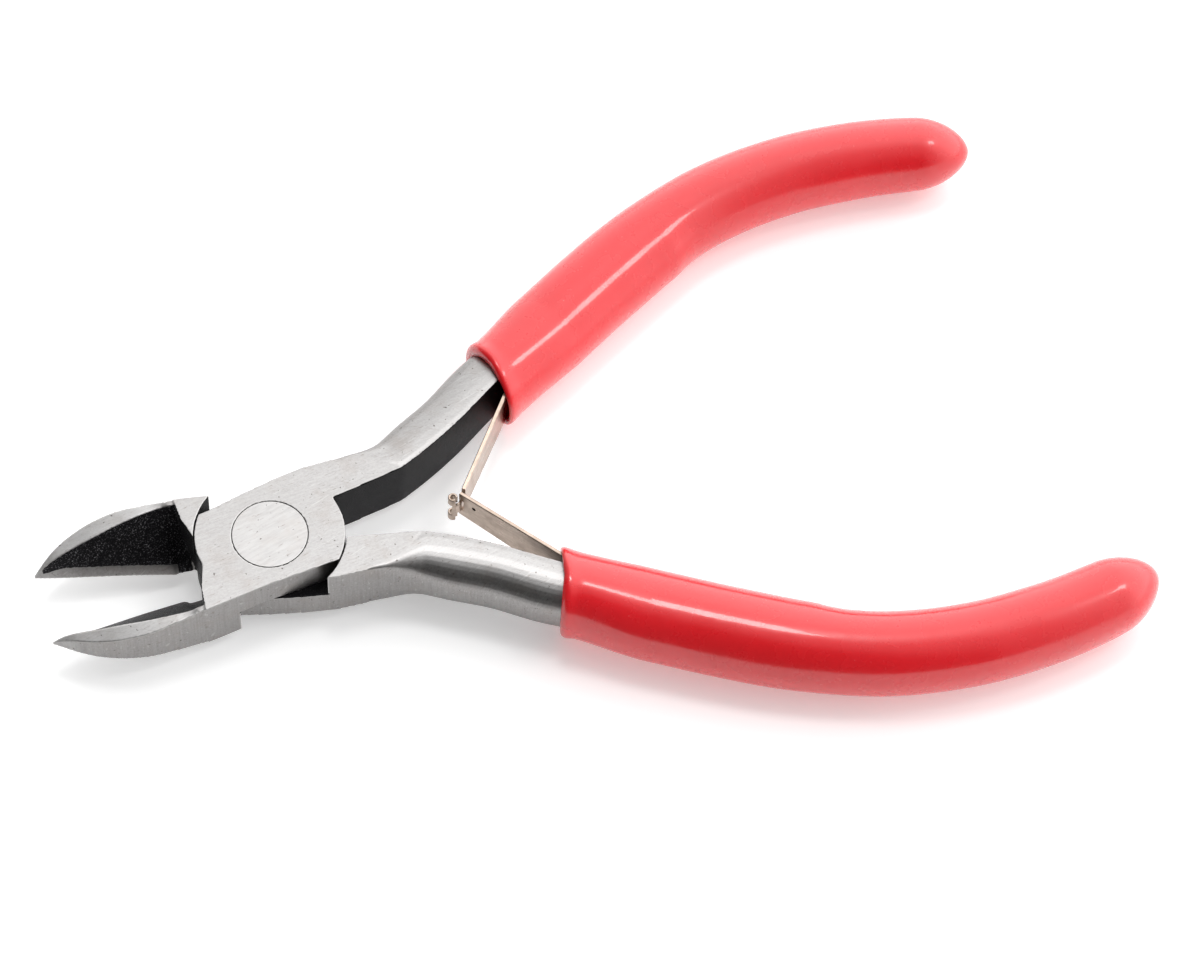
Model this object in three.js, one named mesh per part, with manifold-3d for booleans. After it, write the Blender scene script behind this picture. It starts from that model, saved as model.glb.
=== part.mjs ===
// Mini diagonal cutting pliers with a lap joint, two dipped vinyl grips and a pair of interlocked
// leaf springs that hold the handles open. Millimetres, +Z up. The pivot's axis is Z through the
// origin, the flat back of the joint lies at z = 0, the jaws point along -X and the handles along +X.
// The tool is drawn open, as its springs hold it: each half is turned REST_ANGLE from the middle line.
import * as THREE from "three";
import { mergeVertices } from "three/addons/utils/BufferGeometryUtils.js";
import Module from "manifold-3d";

// ---- Driving dimensions ----
const HEAD_THICKNESS = 6.8;
const MID = HEAD_THICKNESS / 2;
const REST_ANGLE = THREE.MathUtils.degToRad(9.2);
const LAP_RADIUS = 7.7; // round ends of each lap plate
const LAP_CLEARANCE = 0.12; // running gap around and between the laps
const LAP_CORNER = { besideJaw: 2.55, throat: Math.PI + 0.21, besideHandle: -0.68, neck: 0.32 }; // angles
const RIVET = {
  headRadius: 3.87,
  headDepth: 1.1,
  shankRadius: 2.4,
  backRadius: 3.5,
  seatGap: 0.05, // in the half whose lap is on top, which turns with the rivet
  runGap: 0.1, // in the other half, which turns on the rivet
};

// The jaw, station by station from the joint to the tip. x: distance in front of the pivot,
// back: the outer side, rim: where the flat top ends and the bevel falls, half: half the thickness.
const JAW = [
  { x: 7.6, back: 6.7, rim: 6.1, half: 3.4, relief: 0.5 },
  { x: 9.2, back: 6.75, rim: 6.25, half: 3.3, relief: 0.35 },
  { x: 9.8, back: 6.85, rim: 6.35, half: 3.05, relief: 0 },
  { x: 12.0, back: 7.1, rim: 6.4, half: 2.55, relief: 0 },
  { x: 14.5, back: 7.25, rim: 6.2, half: 2.25, relief: 0 },
  { x: 17.0, back: 6.9, rim: 5.7, half: 2.1, relief: 0 },
  { x: 19.5, back: 6.2, rim: 5.05, half: 1.7, relief: 0 },
  { x: 21.5, back: 5.35, rim: 4.5, half: 1.25, relief: 0 },
  { x: 23.0, back: 4.5, rim: 4.15, half: 0.9, relief: 0 },
  { x: 23.9, back: 4.1, rim: 4.0, half: 0.7, relief: 0 },
];
const EDGE_STRIP = 1.3; // width of the ground strip along each cutting edge
const STRIP_SHARE = 0.45; // the most of the bevel that the strip takes up, near the tip
const STRIP_SLOPE = THREE.MathUtils.degToRad(60);

// The steel handle from the joint to the end of its tang: inner and outer edge, and half thickness.
const HANDLE = [
  { inner: [12.0, 3.3], outer: [9.8, 7.1], half: 3.4 },
  { inner: [15.4, 4.0], outer: [13.2, 8.2], half: 3.4 },
  { inner: [18.6, 5.6], outer: [16.2, 10.1], half: 3.4 },
  { inner: [22.4, 7.8], outer: [19.8, 12.1], half: 3.4 },
  { inner: [27.4, 11.2], outer: [24.7, 15.5], half: 3.35 },
  { inner: [36.5, 16.9], outer: [34.3, 20.4], half: 2.9 },
  { inner: [43.3, 21.1], outer: [41.8, 23.9], half: 2.6 },
  { inner: [50.1, 24.7], outer: [48.8, 27.5], half: 2.4 },
  { inner: [57.7, 27.6], outer: [56.9, 30.5], half: 2.2 },
  { inner: [66.0, 29.0], outer: [65.9, 31.9], half: 2.1 },
  { inner: [74.4, 28.9], outer: [74.8, 31.6], half: 2.0 },
  { inner: [81.4, 28.0], outer: [82.0, 30.5], half: 1.8 },
];
const INNER_FLAT = 0.22; // share of the handle's width that stays flat beside its inner wall
const INNER_WALL = 0.97; // share of the handle's thickness that the inner wall takes up
const HANDLE_SQUARENESS = 0.7; // 1 makes the handle's outer side an ellipse, less makes it squarer
const HANDLE_STEPS = 22;

// The grip's middle line, and its reach to the inner and outer side and half thickness along it.
const GRIP_LINE = [
  [27.2, 13.2], [35.6, 18.3], [42.5, 22.4], [49.4, 26.1], [57.3, 29.1],
  [66.0, 30.5], [74.0, 30.4], [80.5, 29.5], [87.2, 28.0],
];
const GRIP_SIZE = [
  { at: 0.0, inner: 4.7, outer: 4.25, half: 4.65 },
  { at: 0.03, inner: 4.6, outer: 4.1, half: 4.45 },
  { at: 0.15, inner: 4.9, outer: 4.6, half: 4.4 },
  { at: 0.3, inner: 4.9, outer: 4.6, half: 4.4 },
  { at: 0.4, inner: 4.8, outer: 4.45, half: 4.4 },
  { at: 0.45, inner: 4.3, outer: 4.4, half: 4.4 },
  { at: 0.75, inner: 4.2, outer: 4.2, half: 4.4 },
  { at: 0.88, inner: 4.0, outer: 4.0, half: 4.2 },
  { at: 1.0, inner: 3.6, outer: 3.5, half: 3.8 },
];
const GRIP_SQUARENESS = 0.94;
const GRIP_DROP = 0.4; // how far the grip's middle lies under the steel's, past its mouth
const GRIP_DROP_FROM = 0.15;
const MOUTH_SLANT = 0.24; // how far the mouth's inner side leads and its outer side trails, per mm across
const MOUTH_LENGTH = 0.08; // share of the length over which the slant dies out
const GRIP_END = 0.09; // share of the length over which the closed end rounds off
const GRIP_POINTS = 24; // round each ring of the skin
// Where the skin's rings lie: shares of the length, then shares of the rounded end.
const GRIP_PLACES = [
  0, 0.03, 0.08, 0.15, 0.22, 0.3, 0.36, 0.4, 0.425, 0.45, 0.5, 0.56, 0.62, 0.68, 0.75, 0.82, 0.87,
];
const GRIP_END_PLACES = [0, 0.3, 0.55, 0.75, 0.9, 0.98];

// The hollow that holds the tang, with room for the leaf on its inner side as far as SPRING_ROOM_END.
const SPRING_ROOM_END = 0.36;
const CAVITY_END = 0.95;
const CAVITY_SIZE = [
  { at: 0.0, inner: 4.1, outer: 3.45, half: 3.8 },
  { at: 0.04, inner: 3.8, outer: 3.4, half: 3.75 },
  { at: 0.15, inner: 3.6, outer: 3.1, half: 3.75 },
  { at: SPRING_ROOM_END, inner: 3.6, outer: 2.3, half: 3.55 },
  { at: SPRING_ROOM_END + 0.02, inner: 2.4, outer: 2.3, half: 3.5 },
  { at: CAVITY_END, inner: 1.9, outer: 1.9, half: 2.9 },
];
const CAVITY_SQUARENESS = 0.72;
const CAVITY_POINTS = 20;
const CAVITY_PLACES = [
  0, 0.04, 0.1, 0.2, 0.3, SPRING_ROOM_END, SPRING_ROOM_END + 0.02, 0.5, 0.6, 0.7, 0.8, 0.88, CAVITY_END,
];
const CAVITY_LEAD = 2; // how far before the mouth the hollow's cut starts

// The leaf springs.
const LEAF = { thickness: 0.42, rootHeight: 5.0, tipHeight: 3.9, root: [28.8, 10.95], meeting: [20.4, 0] };
const TAIL_OFFSET = 0.5; // from the tang's inner wall to the middle of the leaf's buried tail
const TAIL_SPAN = [4.6, 6.4]; // the rows of HANDLE between which the tail lies along the tang
const TAIL_STEPS = 8;
const ROOT_GAP = 0.25; // between the leaf's buried tail and its free arm
// The hook: distances along a leaf are from the point where the two leaves meet, -X is towards the joint.
const HOOK = {
  tongueHeight: 1.5,
  narrowFrom: 1.5, // where the upper leaf narrows to its tongue, before the meeting point
  tongueOverlap: 0.2,
  bendPast: 0.45,
  earPlace: [-1.3, -0.12],
  earRadius: 0.42,
  forkPast: 0.35,
  notchHeight: 2.1,
  notchWidth: 4, // of the cut, across the lower leaf
  notchEnd: 2.1, // of the cut, past the meeting point
};
// The small rivet that holds a leaf's tail: row of HANDLE, then its depth into the tang and its sizes.
const SPRING_RIVET = { row: 6, depth: 2.2, headRadius: 1.4, headDepth: 0.45, shankRadius: 0.75, gap: 0.08 };

const CUT_PAST = 1; // how far a cut starts outside the face that it goes into
const WELD = 1e-4; // points closer than this are one point

const STEEL = { color: 0xb9b8b6, roughness: 0.35, metalness: 1 };
const RIVET_STEEL = { color: 0xc4c3c1, roughness: 0.28, metalness: 1 };
const SPRING_NICKEL = { color: 0xcdbfb0, roughness: 0.32, metalness: 1 };
const VINYL = { color: 0xcf1e26, roughness: 0.22, metalness: 0 };

// ---- Solids ----
const wasm = await Module();
wasm.setup();

// The surface alone, with its shared corners joined.
function surfaceOf(geometry) {
  const bare = geometry.clone();
  bare.deleteAttribute("normal");
  bare.deleteAttribute("uv");
  return mergeVertices(bare, WELD);
}

function solid(geometry) {
  const surface = surfaceOf(geometry);
  return new wasm.Manifold(new wasm.Mesh({
    numProp: 3,
    vertProperties: surface.attributes.position.array,
    triVerts: new Uint32Array(surface.index.array),
  }));
}

function geometryOf(made) {
  const mesh = made.getMesh();
  const geometry = new THREE.BufferGeometry();
  geometry.setAttribute("position", new THREE.BufferAttribute(mesh.vertProperties, 3));
  geometry.setIndex(new THREE.BufferAttribute(mesh.triVerts, 1));
  geometry.computeVertexNormals();
  return geometry;
}

// An outline in plan, pushed up from one height to another.
function plate(shape, low, high, curveSegments = 24) {
  const depth = high - low;
  const geometry = new THREE.ExtrudeGeometry(shape, { depth, bevelEnabled: false, curveSegments });
  geometry.translate(0, 0, low);
  return geometry;
}

function disc(radius, low, high, segments = 64) {
  const geometry = new THREE.CylinderGeometry(radius, radius, high - low, segments);
  geometry.rotateX(Math.PI / 2);
  geometry.translate(0, 0, (low + high) / 2);
  return geometry;
}

// A skin over a row of rings that have the same number of points, with a flat lid at each end.
function loft(rings) {
  const count = rings[0].length;
  const points = rings.flat();
  const triangles = [];
  for (let r = 0; r < rings.length - 1; r++) {
    for (let i = 0; i < count; i++) {
      const a = r * count + i;
      const b = r * count + ((i + 1) % count);
      triangles.push(a, b, b + count, a, b + count, a + count);
    }
  }
  const lid = (first, turned) => {
    for (let i = 1; i < count - 1; i++) {
      triangles.push(...(turned ? [first, first + i + 1, first + i] : [first, first + i, first + i + 1]));
    }
  };
  lid(0, true);
  lid((rings.length - 1) * count, false);
  const geometry = new THREE.BufferGeometry().setFromPoints(points);
  geometry.setIndex(triangles);
  return outward(geometry);
}

// Turns a closed geometry's faces to point out, whichever way its rings ran.
function outward(geometry) {
  const index = geometry.index.array;
  const p = geometry.attributes.position;
  const [a, b, c] = [new THREE.Vector3(), new THREE.Vector3(), new THREE.Vector3()];
  let volume = 0;
  for (let i = 0; i < index.length; i += 3) {
    a.fromBufferAttribute(p, index[i]);
    b.fromBufferAttribute(p, index[i + 1]);
    c.fromBufferAttribute(p, index[i + 2]);
    volume += a.dot(b.cross(c));
  }
  if (volume < 0) {
    for (let i = 0; i < index.length; i += 3) [index[i + 1], index[i + 2]] = [index[i + 2], index[i + 1]];
  }
  return geometry;
}

// The same solid on the other side of the middle line.
function mirrored(geometry) {
  return outward(surfaceOf(geometry).scale(1, -1, 1));
}

const planPoint = ([x, y]) => new THREE.Vector3(x, y, 0);
const spline = (points) => new THREE.CatmullRomCurve3(points.map(planPoint), false, "centripetal");

// A straight-line reading of a table of { at, ... } rows.
function reading(rows, at, key) {
  const next = Math.max(1, rows.findIndex((row) => row.at >= at));
  const [from, to] = [rows[next - 1], rows[next]];
  return THREE.MathUtils.mapLinear(at, from.at, to.at, from[key], to[key]);
}

// ---- Steel halves: drawn as the half whose handle is at +Y ----
function headOutline() {
  const shape = new THREE.Shape();
  const { besideJaw, throat, besideHandle, neck } = LAP_CORNER;
  shape.moveTo(13.6, 7.7);
  shape.lineTo(11.6, 7.2);
  shape.lineTo(8.3, 6.9);
  shape.lineTo(5.0, 6.75);
  shape.lineTo(1.4, 6.1);
  shape.lineTo(-1.7, 5.4);
  shape.lineTo(-4.8, 4.6);
  shape.lineTo(LAP_RADIUS * Math.cos(besideJaw), LAP_RADIUS * Math.sin(besideJaw));
  shape.absarc(0, 0, LAP_RADIUS, besideJaw, throat, false);
  shape.lineTo(-8.3, -4.2);
  shape.lineTo(-8.5, -6.75);
  shape.lineTo(-7.0, -6.6);
  shape.lineTo(-2.6, -5.8);
  shape.lineTo(1.75, -5.3);
  shape.lineTo(LAP_RADIUS * Math.cos(besideHandle), LAP_RADIUS * Math.sin(besideHandle));
  shape.absarc(0, 0, LAP_RADIUS, besideHandle, neck, false);
  shape.lineTo(12.0, 3.2);
  shape.lineTo(15.4, 4.0);
  return shape;
}

function jawRing({ x, back, rim, half, relief }) {
  const edge = x * Math.tan(REST_ANGLE) + relief;
  const bevelHeight = 2 * half;
  const bevelWidth = rim - edge;
  const strip = Math.min(EDGE_STRIP, STRIP_SHARE * Math.hypot(bevelHeight, bevelWidth));
  const slope = Math.max(STRIP_SLOPE, Math.atan2(bevelHeight, bevelWidth));
  const low = MID - half;
  return [
    [edge, low],
    [edge + strip * Math.cos(slope), low + strip * Math.sin(slope)],
    [rim, MID + half],
    [back, MID + half],
    [back, low],
  ].map(([y, z]) => new THREE.Vector3(-x, -y, z));
}

// A sine or cosine pushed outwards, which turns an ellipse into a squarer oval.
const squared = (value, power) => Math.sign(value) * Math.abs(value) ** power;

// A D-shaped section: a flat inner wall, a short flat beside it, then a round outer side.
function handleRing(inner, outer, half) {
  const across = 10;
  const profile = [];
  for (let i = 0; i <= across; i++) {
    const turn = (Math.PI * i) / across;
    const share = INNER_FLAT + (1 - INNER_FLAT) * squared(Math.sin(turn), HANDLE_SQUARENESS);
    profile.push([share, squared(Math.cos(turn), HANDLE_SQUARENESS)]);
  }
  profile.push([0, -INNER_WALL], [0, INNER_WALL]);
  return profile.map(([share, height]) =>
    new THREE.Vector3(0, 0, MID + half * height).add(inner.clone().lerp(outer, share)));
}

const innerEdge = spline(HANDLE.map((row) => row.inner));
const outerEdge = spline(HANDLE.map((row) => row.outer));

function handle() {
  const rings = [];
  for (let i = 0; i <= HANDLE_STEPS; i++) {
    const at = i / HANDLE_STEPS;
    const row = at * (HANDLE.length - 1);
    const low = Math.min(Math.floor(row), HANDLE.length - 2);
    const half = THREE.MathUtils.lerp(HANDLE[low].half, HANDLE[low + 1].half, row - low);
    rings.push(handleRing(innerEdge.getPoint(at), outerEdge.getPoint(at), half));
  }
  return loft(rings);
}

// A place on the handle's inner wall, by row of HANDLE, and the direction from it into the steel.
function innerWall(row) {
  const at = row / (HANDLE.length - 1);
  const along = innerEdge.getTangent(at);
  return { point: innerEdge.getPoint(at), inward: new THREE.Vector3(-along.y, along.x, 0) };
}

// A round bar along the spring rivet's axis, from one depth behind the tang's inner wall to another.
function crossBar(radius, from, to, segments = 20) {
  const { point, inward } = innerWall(SPRING_RIVET.row);
  const geometry = new THREE.CylinderGeometry(radius, radius, to - from, segments);
  geometry.translate(0, (from + to) / 2, 0);
  geometry.applyQuaternion(new THREE.Quaternion().setFromUnitVectors(new THREE.Vector3(0, 1, 0), inward));
  geometry.translate(point.x, point.y, MID);
  return geometry;
}

function springRivet() {
  const { depth, headRadius, headDepth, shankRadius, gap } = SPRING_RIVET;
  const seat = -TAIL_OFFSET - LEAF.thickness / 2 - gap;
  return solid(crossBar(headRadius, seat - headDepth, seat))
    .add(solid(crossBar(shankRadius, seat - headDepth / 2, depth - gap)));
}

function lever(lapOnTop) {
  const side = (geometry) => solid(lapOnTop ? geometry : mirrored(geometry));
  const { headRadius, headDepth, shankRadius, backRadius, seatGap, runGap } = RIVET;
  const gap = lapOnTop ? seatGap : runGap;
  const cutRadius = LAP_RADIUS + LAP_CLEARANCE;
  const halfGap = LAP_CLEARANCE / 2;
  const lapCut = lapOnTop
    ? disc(cutRadius, -CUT_PAST, MID + halfGap)
    : disc(cutRadius, MID - halfGap, HEAD_THICKNESS + CUT_PAST);
  const rivetSeat = lapOnTop
    ? disc(headRadius + gap, HEAD_THICKNESS - headDepth - gap, HEAD_THICKNESS + CUT_PAST)
    : disc(backRadius + gap, -CUT_PAST, headDepth + gap);
  return side(plate(headOutline(), 0, HEAD_THICKNESS))
    .add(side(loft(JAW.map(jawRing))))
    .add(side(handle()))
    .subtract(solid(lapCut))
    .subtract(solid(disc(shankRadius + gap, -CUT_PAST, HEAD_THICKNESS + CUT_PAST)))
    .subtract(solid(rivetSeat))
    .subtract(side(crossBar(SPRING_RIVET.shankRadius + SPRING_RIVET.gap, -CUT_PAST, SPRING_RIVET.depth)));
}

function pivotRivet() {
  const { headRadius, headDepth, shankRadius, backRadius } = RIVET;
  const profile = [
    [0, 0], [backRadius, 0], [backRadius, headDepth], [shankRadius, headDepth],
    [shankRadius, HEAD_THICKNESS - headDepth], [headRadius, HEAD_THICKNESS - headDepth],
    [headRadius, HEAD_THICKNESS], [0, HEAD_THICKNESS],
  ].map(([radius, height]) => new THREE.Vector2(radius, height));
  const geometry = new THREE.LatheGeometry(profile, 64);
  geometry.rotateX(Math.PI / 2);
  return solid(outward(surfaceOf(geometry)));
}

// ---- Grip: a dipped sleeve, closed at its far end, open where the handle goes in ----
const gripLine = spline(GRIP_LINE);

function gripFrame(at) {
  const centre = gripLine.getPointAt(at);
  const along = gripLine.getTangentAt(at);
  return { centre, along, across: new THREE.Vector3(-along.y, along.x, 0) };
}

function ovalRing(at, inner, outer, half, points, power) {
  const { centre, along, across } = gripFrame(at);
  const middle = MID - GRIP_DROP * Math.min(1, at / GRIP_DROP_FROM);
  const slant = MOUTH_SLANT * Math.max(0, 1 - at / MOUTH_LENGTH);
  const ring = [];
  for (let i = 0; i < points; i++) {
    const turn = (2 * Math.PI * i) / points;
    const reach = squared(Math.cos(turn), power) * (Math.cos(turn) > 0 ? outer : inner);
    const height = squared(Math.sin(turn), power) * half;
    const point = centre.clone().addScaledVector(across, reach).addScaledVector(along, slant * reach);
    ring.push(point.setZ(middle + height));
  }
  return ring;
}

function grip() {
  const places = [...GRIP_PLACES, ...GRIP_END_PLACES.map((share) => 1 - GRIP_END * (1 - share))];
  const skin = loft(places.map((at) => {
    const into = Math.max(0, (at - 1 + GRIP_END) / GRIP_END);
    const round = Math.sqrt(1 - into * into);
    const size = ["inner", "outer", "half"].map((key) => round * reading(GRIP_SIZE, at, key));
    return ovalRing(at, ...size, GRIP_POINTS, GRIP_SQUARENESS);
  }));
  const hollow = CAVITY_PLACES.map((at) => {
    const size = ["inner", "outer", "half"].map((key) => reading(CAVITY_SIZE, at, key));
    return ovalRing(at, ...size, CAVITY_POINTS, CAVITY_SQUARENESS);
  });
  const lead = gripFrame(0).along.multiplyScalar(-CAVITY_LEAD);
  const beforeMouth = hollow[0].map((point) => point.clone().add(lead));
  return solid(skin).subtract(solid(loft([beforeMouth, ...hollow])));
}

// ---- Leaf springs ----
// A strip that stands on edge along a line in plan: thickness in plan, height along Z.
function strip(points, heights) {
  const rings = points.map((point, i) => {
    const before = points[Math.max(0, i - 1)];
    const after = points[Math.min(points.length - 1, i + 1)];
    const along = after.clone().sub(before).normalize();
    const across = new THREE.Vector3(-along.y, along.x, 0).multiplyScalar(LEAF.thickness / 2);
    const half = heights[i] / 2;
    return [[1, -half], [1, half], [-1, half], [-1, -half]].map(([turn, z]) =>
      point.clone().addScaledVector(across, turn).setZ(MID + z));
  });
  return loft(rings);
}

const leafRoot = planPoint(LEAF.root);
const meeting = planPoint(LEAF.meeting);
const leafAlong = meeting.clone().sub(leafRoot).normalize();

function leafArm() {
  const notchStart = meeting.clone().addScaledVector(leafAlong, -HOOK.narrowFrom);
  return strip([leafRoot, notchStart], [LEAF.rootHeight, LEAF.tipHeight]);
}

// The upper leaf narrows to a tongue that passes through the other leaf's notch and ends in two ears.
function topLeafArm() {
  const tongueStart = meeting.clone().addScaledVector(leafAlong, -HOOK.narrowFrom - HOOK.tongueOverlap);
  const bend = meeting.clone().addScaledVector(leafAlong, HOOK.bendPast);
  const earCentre = meeting.clone().add(planPoint(HOOK.earPlace));
  const tongue = strip([tongueStart, bend, earCentre], Array(3).fill(HOOK.tongueHeight));
  const ears = disc(HOOK.earRadius, MID - LEAF.tipHeight / 2, MID + LEAF.tipHeight / 2, 14);
  ears.translate(earCentre.x, earCentre.y, 0);
  return solid(leafArm()).add(solid(tongue)).add(solid(ears));
}

// The lower leaf ends in a fork: two prongs with the notch between them.
function bottomLeafArm() {
  const end = meeting.clone().addScaledVector(leafAlong, HOOK.forkPast);
  const blade = strip([leafRoot, end], [LEAF.rootHeight, LEAF.tipHeight]);
  const length = HOOK.narrowFrom + HOOK.notchEnd;
  const notch = new THREE.BoxGeometry(length, HOOK.notchWidth, HOOK.notchHeight);
  const middle = meeting.clone().addScaledVector(leafAlong, (HOOK.notchEnd - HOOK.narrowFrom) / 2);
  notch.rotateZ(Math.atan2(leafAlong.y, leafAlong.x));
  notch.translate(middle.x, middle.y, MID);
  return solid(mirrored(blade)).subtract(solid(mirrored(notch)));
}

function leafTail(onTop) {
  const side = (geometry) => solid(onTop ? geometry : mirrored(geometry));
  const points = [leafRoot.clone().addScaledVector(leafAlong, -ROOT_GAP)];
  for (let i = 0; i <= TAIL_STEPS; i++) {
    const { point, inward } = innerWall(THREE.MathUtils.lerp(...TAIL_SPAN, i / TAIL_STEPS));
    points.push(point.addScaledVector(inward, -TAIL_OFFSET));
  }
  return side(strip(points, points.map(() => LEAF.rootHeight)))
    .subtract(side(crossBar(SPRING_RIVET.shankRadius + SPRING_RIVET.gap, -TAIL_OFFSET - CUT_PAST, CUT_PAST)));
}

// ---- Assembly ----
const pliers = new THREE.Group();
pliers.name = "diagonal_cutting_pliers";

function place(name, made, look) {
  const mesh = new THREE.Mesh(geometryOf(made), new THREE.MeshStandardMaterial(look));
  mesh.name = name;
  pliers.add(mesh);
}

const sleeve = grip();
const smallRivet = springRivet();
const acrossMiddle = (made) => solid(mirrored(geometryOf(made)));

place("top_lever", lever(true), STEEL);
place("bottom_lever", lever(false), STEEL);
place("pivot_rivet", pivotRivet(), RIVET_STEEL);
place("top_grip", sleeve, VINYL);
place("bottom_grip", acrossMiddle(sleeve), VINYL);
place("top_leaf_tail", leafTail(true), SPRING_NICKEL);
place("bottom_leaf_tail", leafTail(false), SPRING_NICKEL);
place("top_leaf_arm", topLeafArm(), SPRING_NICKEL);
place("bottom_leaf_arm", bottomLeafArm(), SPRING_NICKEL);
place("top_spring_rivet", smallRivet, RIVET_STEEL);
place("bottom_spring_rivet", acrossMiddle(smallRivet), RIVET_STEEL);

export default pliers;
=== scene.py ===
import math

import bpy
import numpy as np
from mathutils import Matrix, Quaternion, Vector


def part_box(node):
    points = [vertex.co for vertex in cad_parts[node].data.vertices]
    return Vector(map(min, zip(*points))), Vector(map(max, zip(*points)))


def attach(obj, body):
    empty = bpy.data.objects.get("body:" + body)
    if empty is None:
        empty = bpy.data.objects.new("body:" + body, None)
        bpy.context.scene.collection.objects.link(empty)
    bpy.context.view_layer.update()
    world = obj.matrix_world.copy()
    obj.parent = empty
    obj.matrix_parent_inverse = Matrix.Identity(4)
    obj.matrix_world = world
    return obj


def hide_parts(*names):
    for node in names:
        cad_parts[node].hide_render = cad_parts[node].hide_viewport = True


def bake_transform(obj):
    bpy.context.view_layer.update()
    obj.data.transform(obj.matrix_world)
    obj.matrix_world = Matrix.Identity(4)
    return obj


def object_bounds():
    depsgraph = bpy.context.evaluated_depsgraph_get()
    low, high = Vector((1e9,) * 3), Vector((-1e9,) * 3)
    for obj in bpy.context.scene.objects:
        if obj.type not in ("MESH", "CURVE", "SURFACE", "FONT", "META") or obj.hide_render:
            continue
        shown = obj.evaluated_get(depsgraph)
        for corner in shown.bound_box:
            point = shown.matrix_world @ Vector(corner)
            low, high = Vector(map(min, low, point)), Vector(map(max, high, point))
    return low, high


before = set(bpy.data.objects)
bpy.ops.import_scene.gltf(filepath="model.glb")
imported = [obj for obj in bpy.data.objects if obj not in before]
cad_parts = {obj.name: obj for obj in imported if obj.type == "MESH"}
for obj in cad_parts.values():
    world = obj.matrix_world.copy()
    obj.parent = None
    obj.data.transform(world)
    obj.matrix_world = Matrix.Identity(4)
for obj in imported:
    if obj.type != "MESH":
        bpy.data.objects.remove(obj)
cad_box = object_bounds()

MM = 0.001

# ---- Driving dimensions, in millimetres ----
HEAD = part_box("pivot_rivet")[1][2] / MM  # thickness of the joint
MID = HEAD / 2
REST_ANGLE = math.radians(9.2)
LAP_RADIUS = 7.7  # of the round plate where each half is cut to half its thickness
LAP_GAP = 0.12
RIVET_HEAD = 3.87  # radius in front
RIVET_BACK = 3.5  # radius at the back
RIVET_SHANK = 2.4
RIVET_DEPTH = 1.1
RIVET_EDGE = 0.035  # how far its rims are rounded
SEAT_GAP = 0.05  # between the rivet and the top half
RUN_GAP = 0.1  # between the rivet and the bottom half, which turns on it
PAST = 1.0  # how far a cutting shape passes the surface that it cuts

VOXEL = 0.1  # grain of the fine steel meshes
EDGE_ROUNDS = 1  # smoothing passes that break the steel's sharp edges
EDGE_REACH = 3  # how many voxels in from an edge its painted highlight and its rougher finish reach
SKIN_REACH = 2  # how many voxels the border of the forged skin is spread over
NEIGHBOUR_SHARE = 0.6  # of a vertex's value, at each pass that spreads it
SMOOTH_BELOW = 30  # rivets are shaded smooth over turns of fewer degrees than this
LEAF_SMOOTH_BELOW = 35

# The jaw from the joint to the tip: distance in front of the pivot, outer side, rim of the bevel,
# underside, top, and how far the cutting edge is set back from the line that it closes on.
JAW = np.array([
    (7.6, 6.7, 6.1, 0.0, 6.8, 0.5),
    (9.2, 6.75, 6.2, 0.1, 6.7, 0.35),
    (9.8, 6.9, 6.28, 0.3, 6.55, 0.0),
    (12.0, 7.2, 6.15, 0.75, 6.35, 0.0),
    (14.5, 7.42, 5.85, 1.2, 6.02, 0.0),
    (17.0, 7.15, 5.4, 1.55, 5.6, 0.0),
    (19.5, 6.45, 4.95, 1.9, 5.08, 0.0),
    (21.5, 5.5, 4.5, 2.2, 4.6, 0.0),
    (22.8, 4.7, 4.17, 2.45, 3.95, 0.0),
    (23.9, 4.05, 3.97, 2.7, 2.98, 0.0),
])
JAW_STATIONS = 60
EDGE_STRIP = 1.3  # width of the ground strip along the cutting edge
STRIP_SHARE = 0.45  # the most of the bevel that the strip takes up, near the tip
STRIP_START = 9.4  # where the ground strip begins, in front of the pivot
STRIP_SLOPE = math.radians(60)  # at least, from the flat

# Where the steel keeps its black forged skin.
BLACK_END = 23.0  # the bevel's skin ends here, short of the tip
BEVEL_START = 7.9
BEVEL_MARGIN = 0.03
WALL_TILT = 0.6  # the most that the normal of a black wall leans up or down
ROUND_WALL = 0.92  # how nearly the normal of a lap's round wall points along its radius
INNER_WALL_TILT = 0.75
INNER_WALL_START = 11  # behind the pivot
INNER_WALL_REACH = 0.22
LAP_SKIN = (-0.2, 0.35)  # inward and outward from the lap's radius
LAP_FLOOR_SKIN = (0.15, 0.3)  # up or down from the middle, and outward from the lap's radius
STEP_SKIN = (7.3, 8.8)  # the step beside the bevel, in front of the pivot
THROAT_SKIN = (16, 2)  # how far behind the pivot it ends, and how far out it starts

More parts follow.
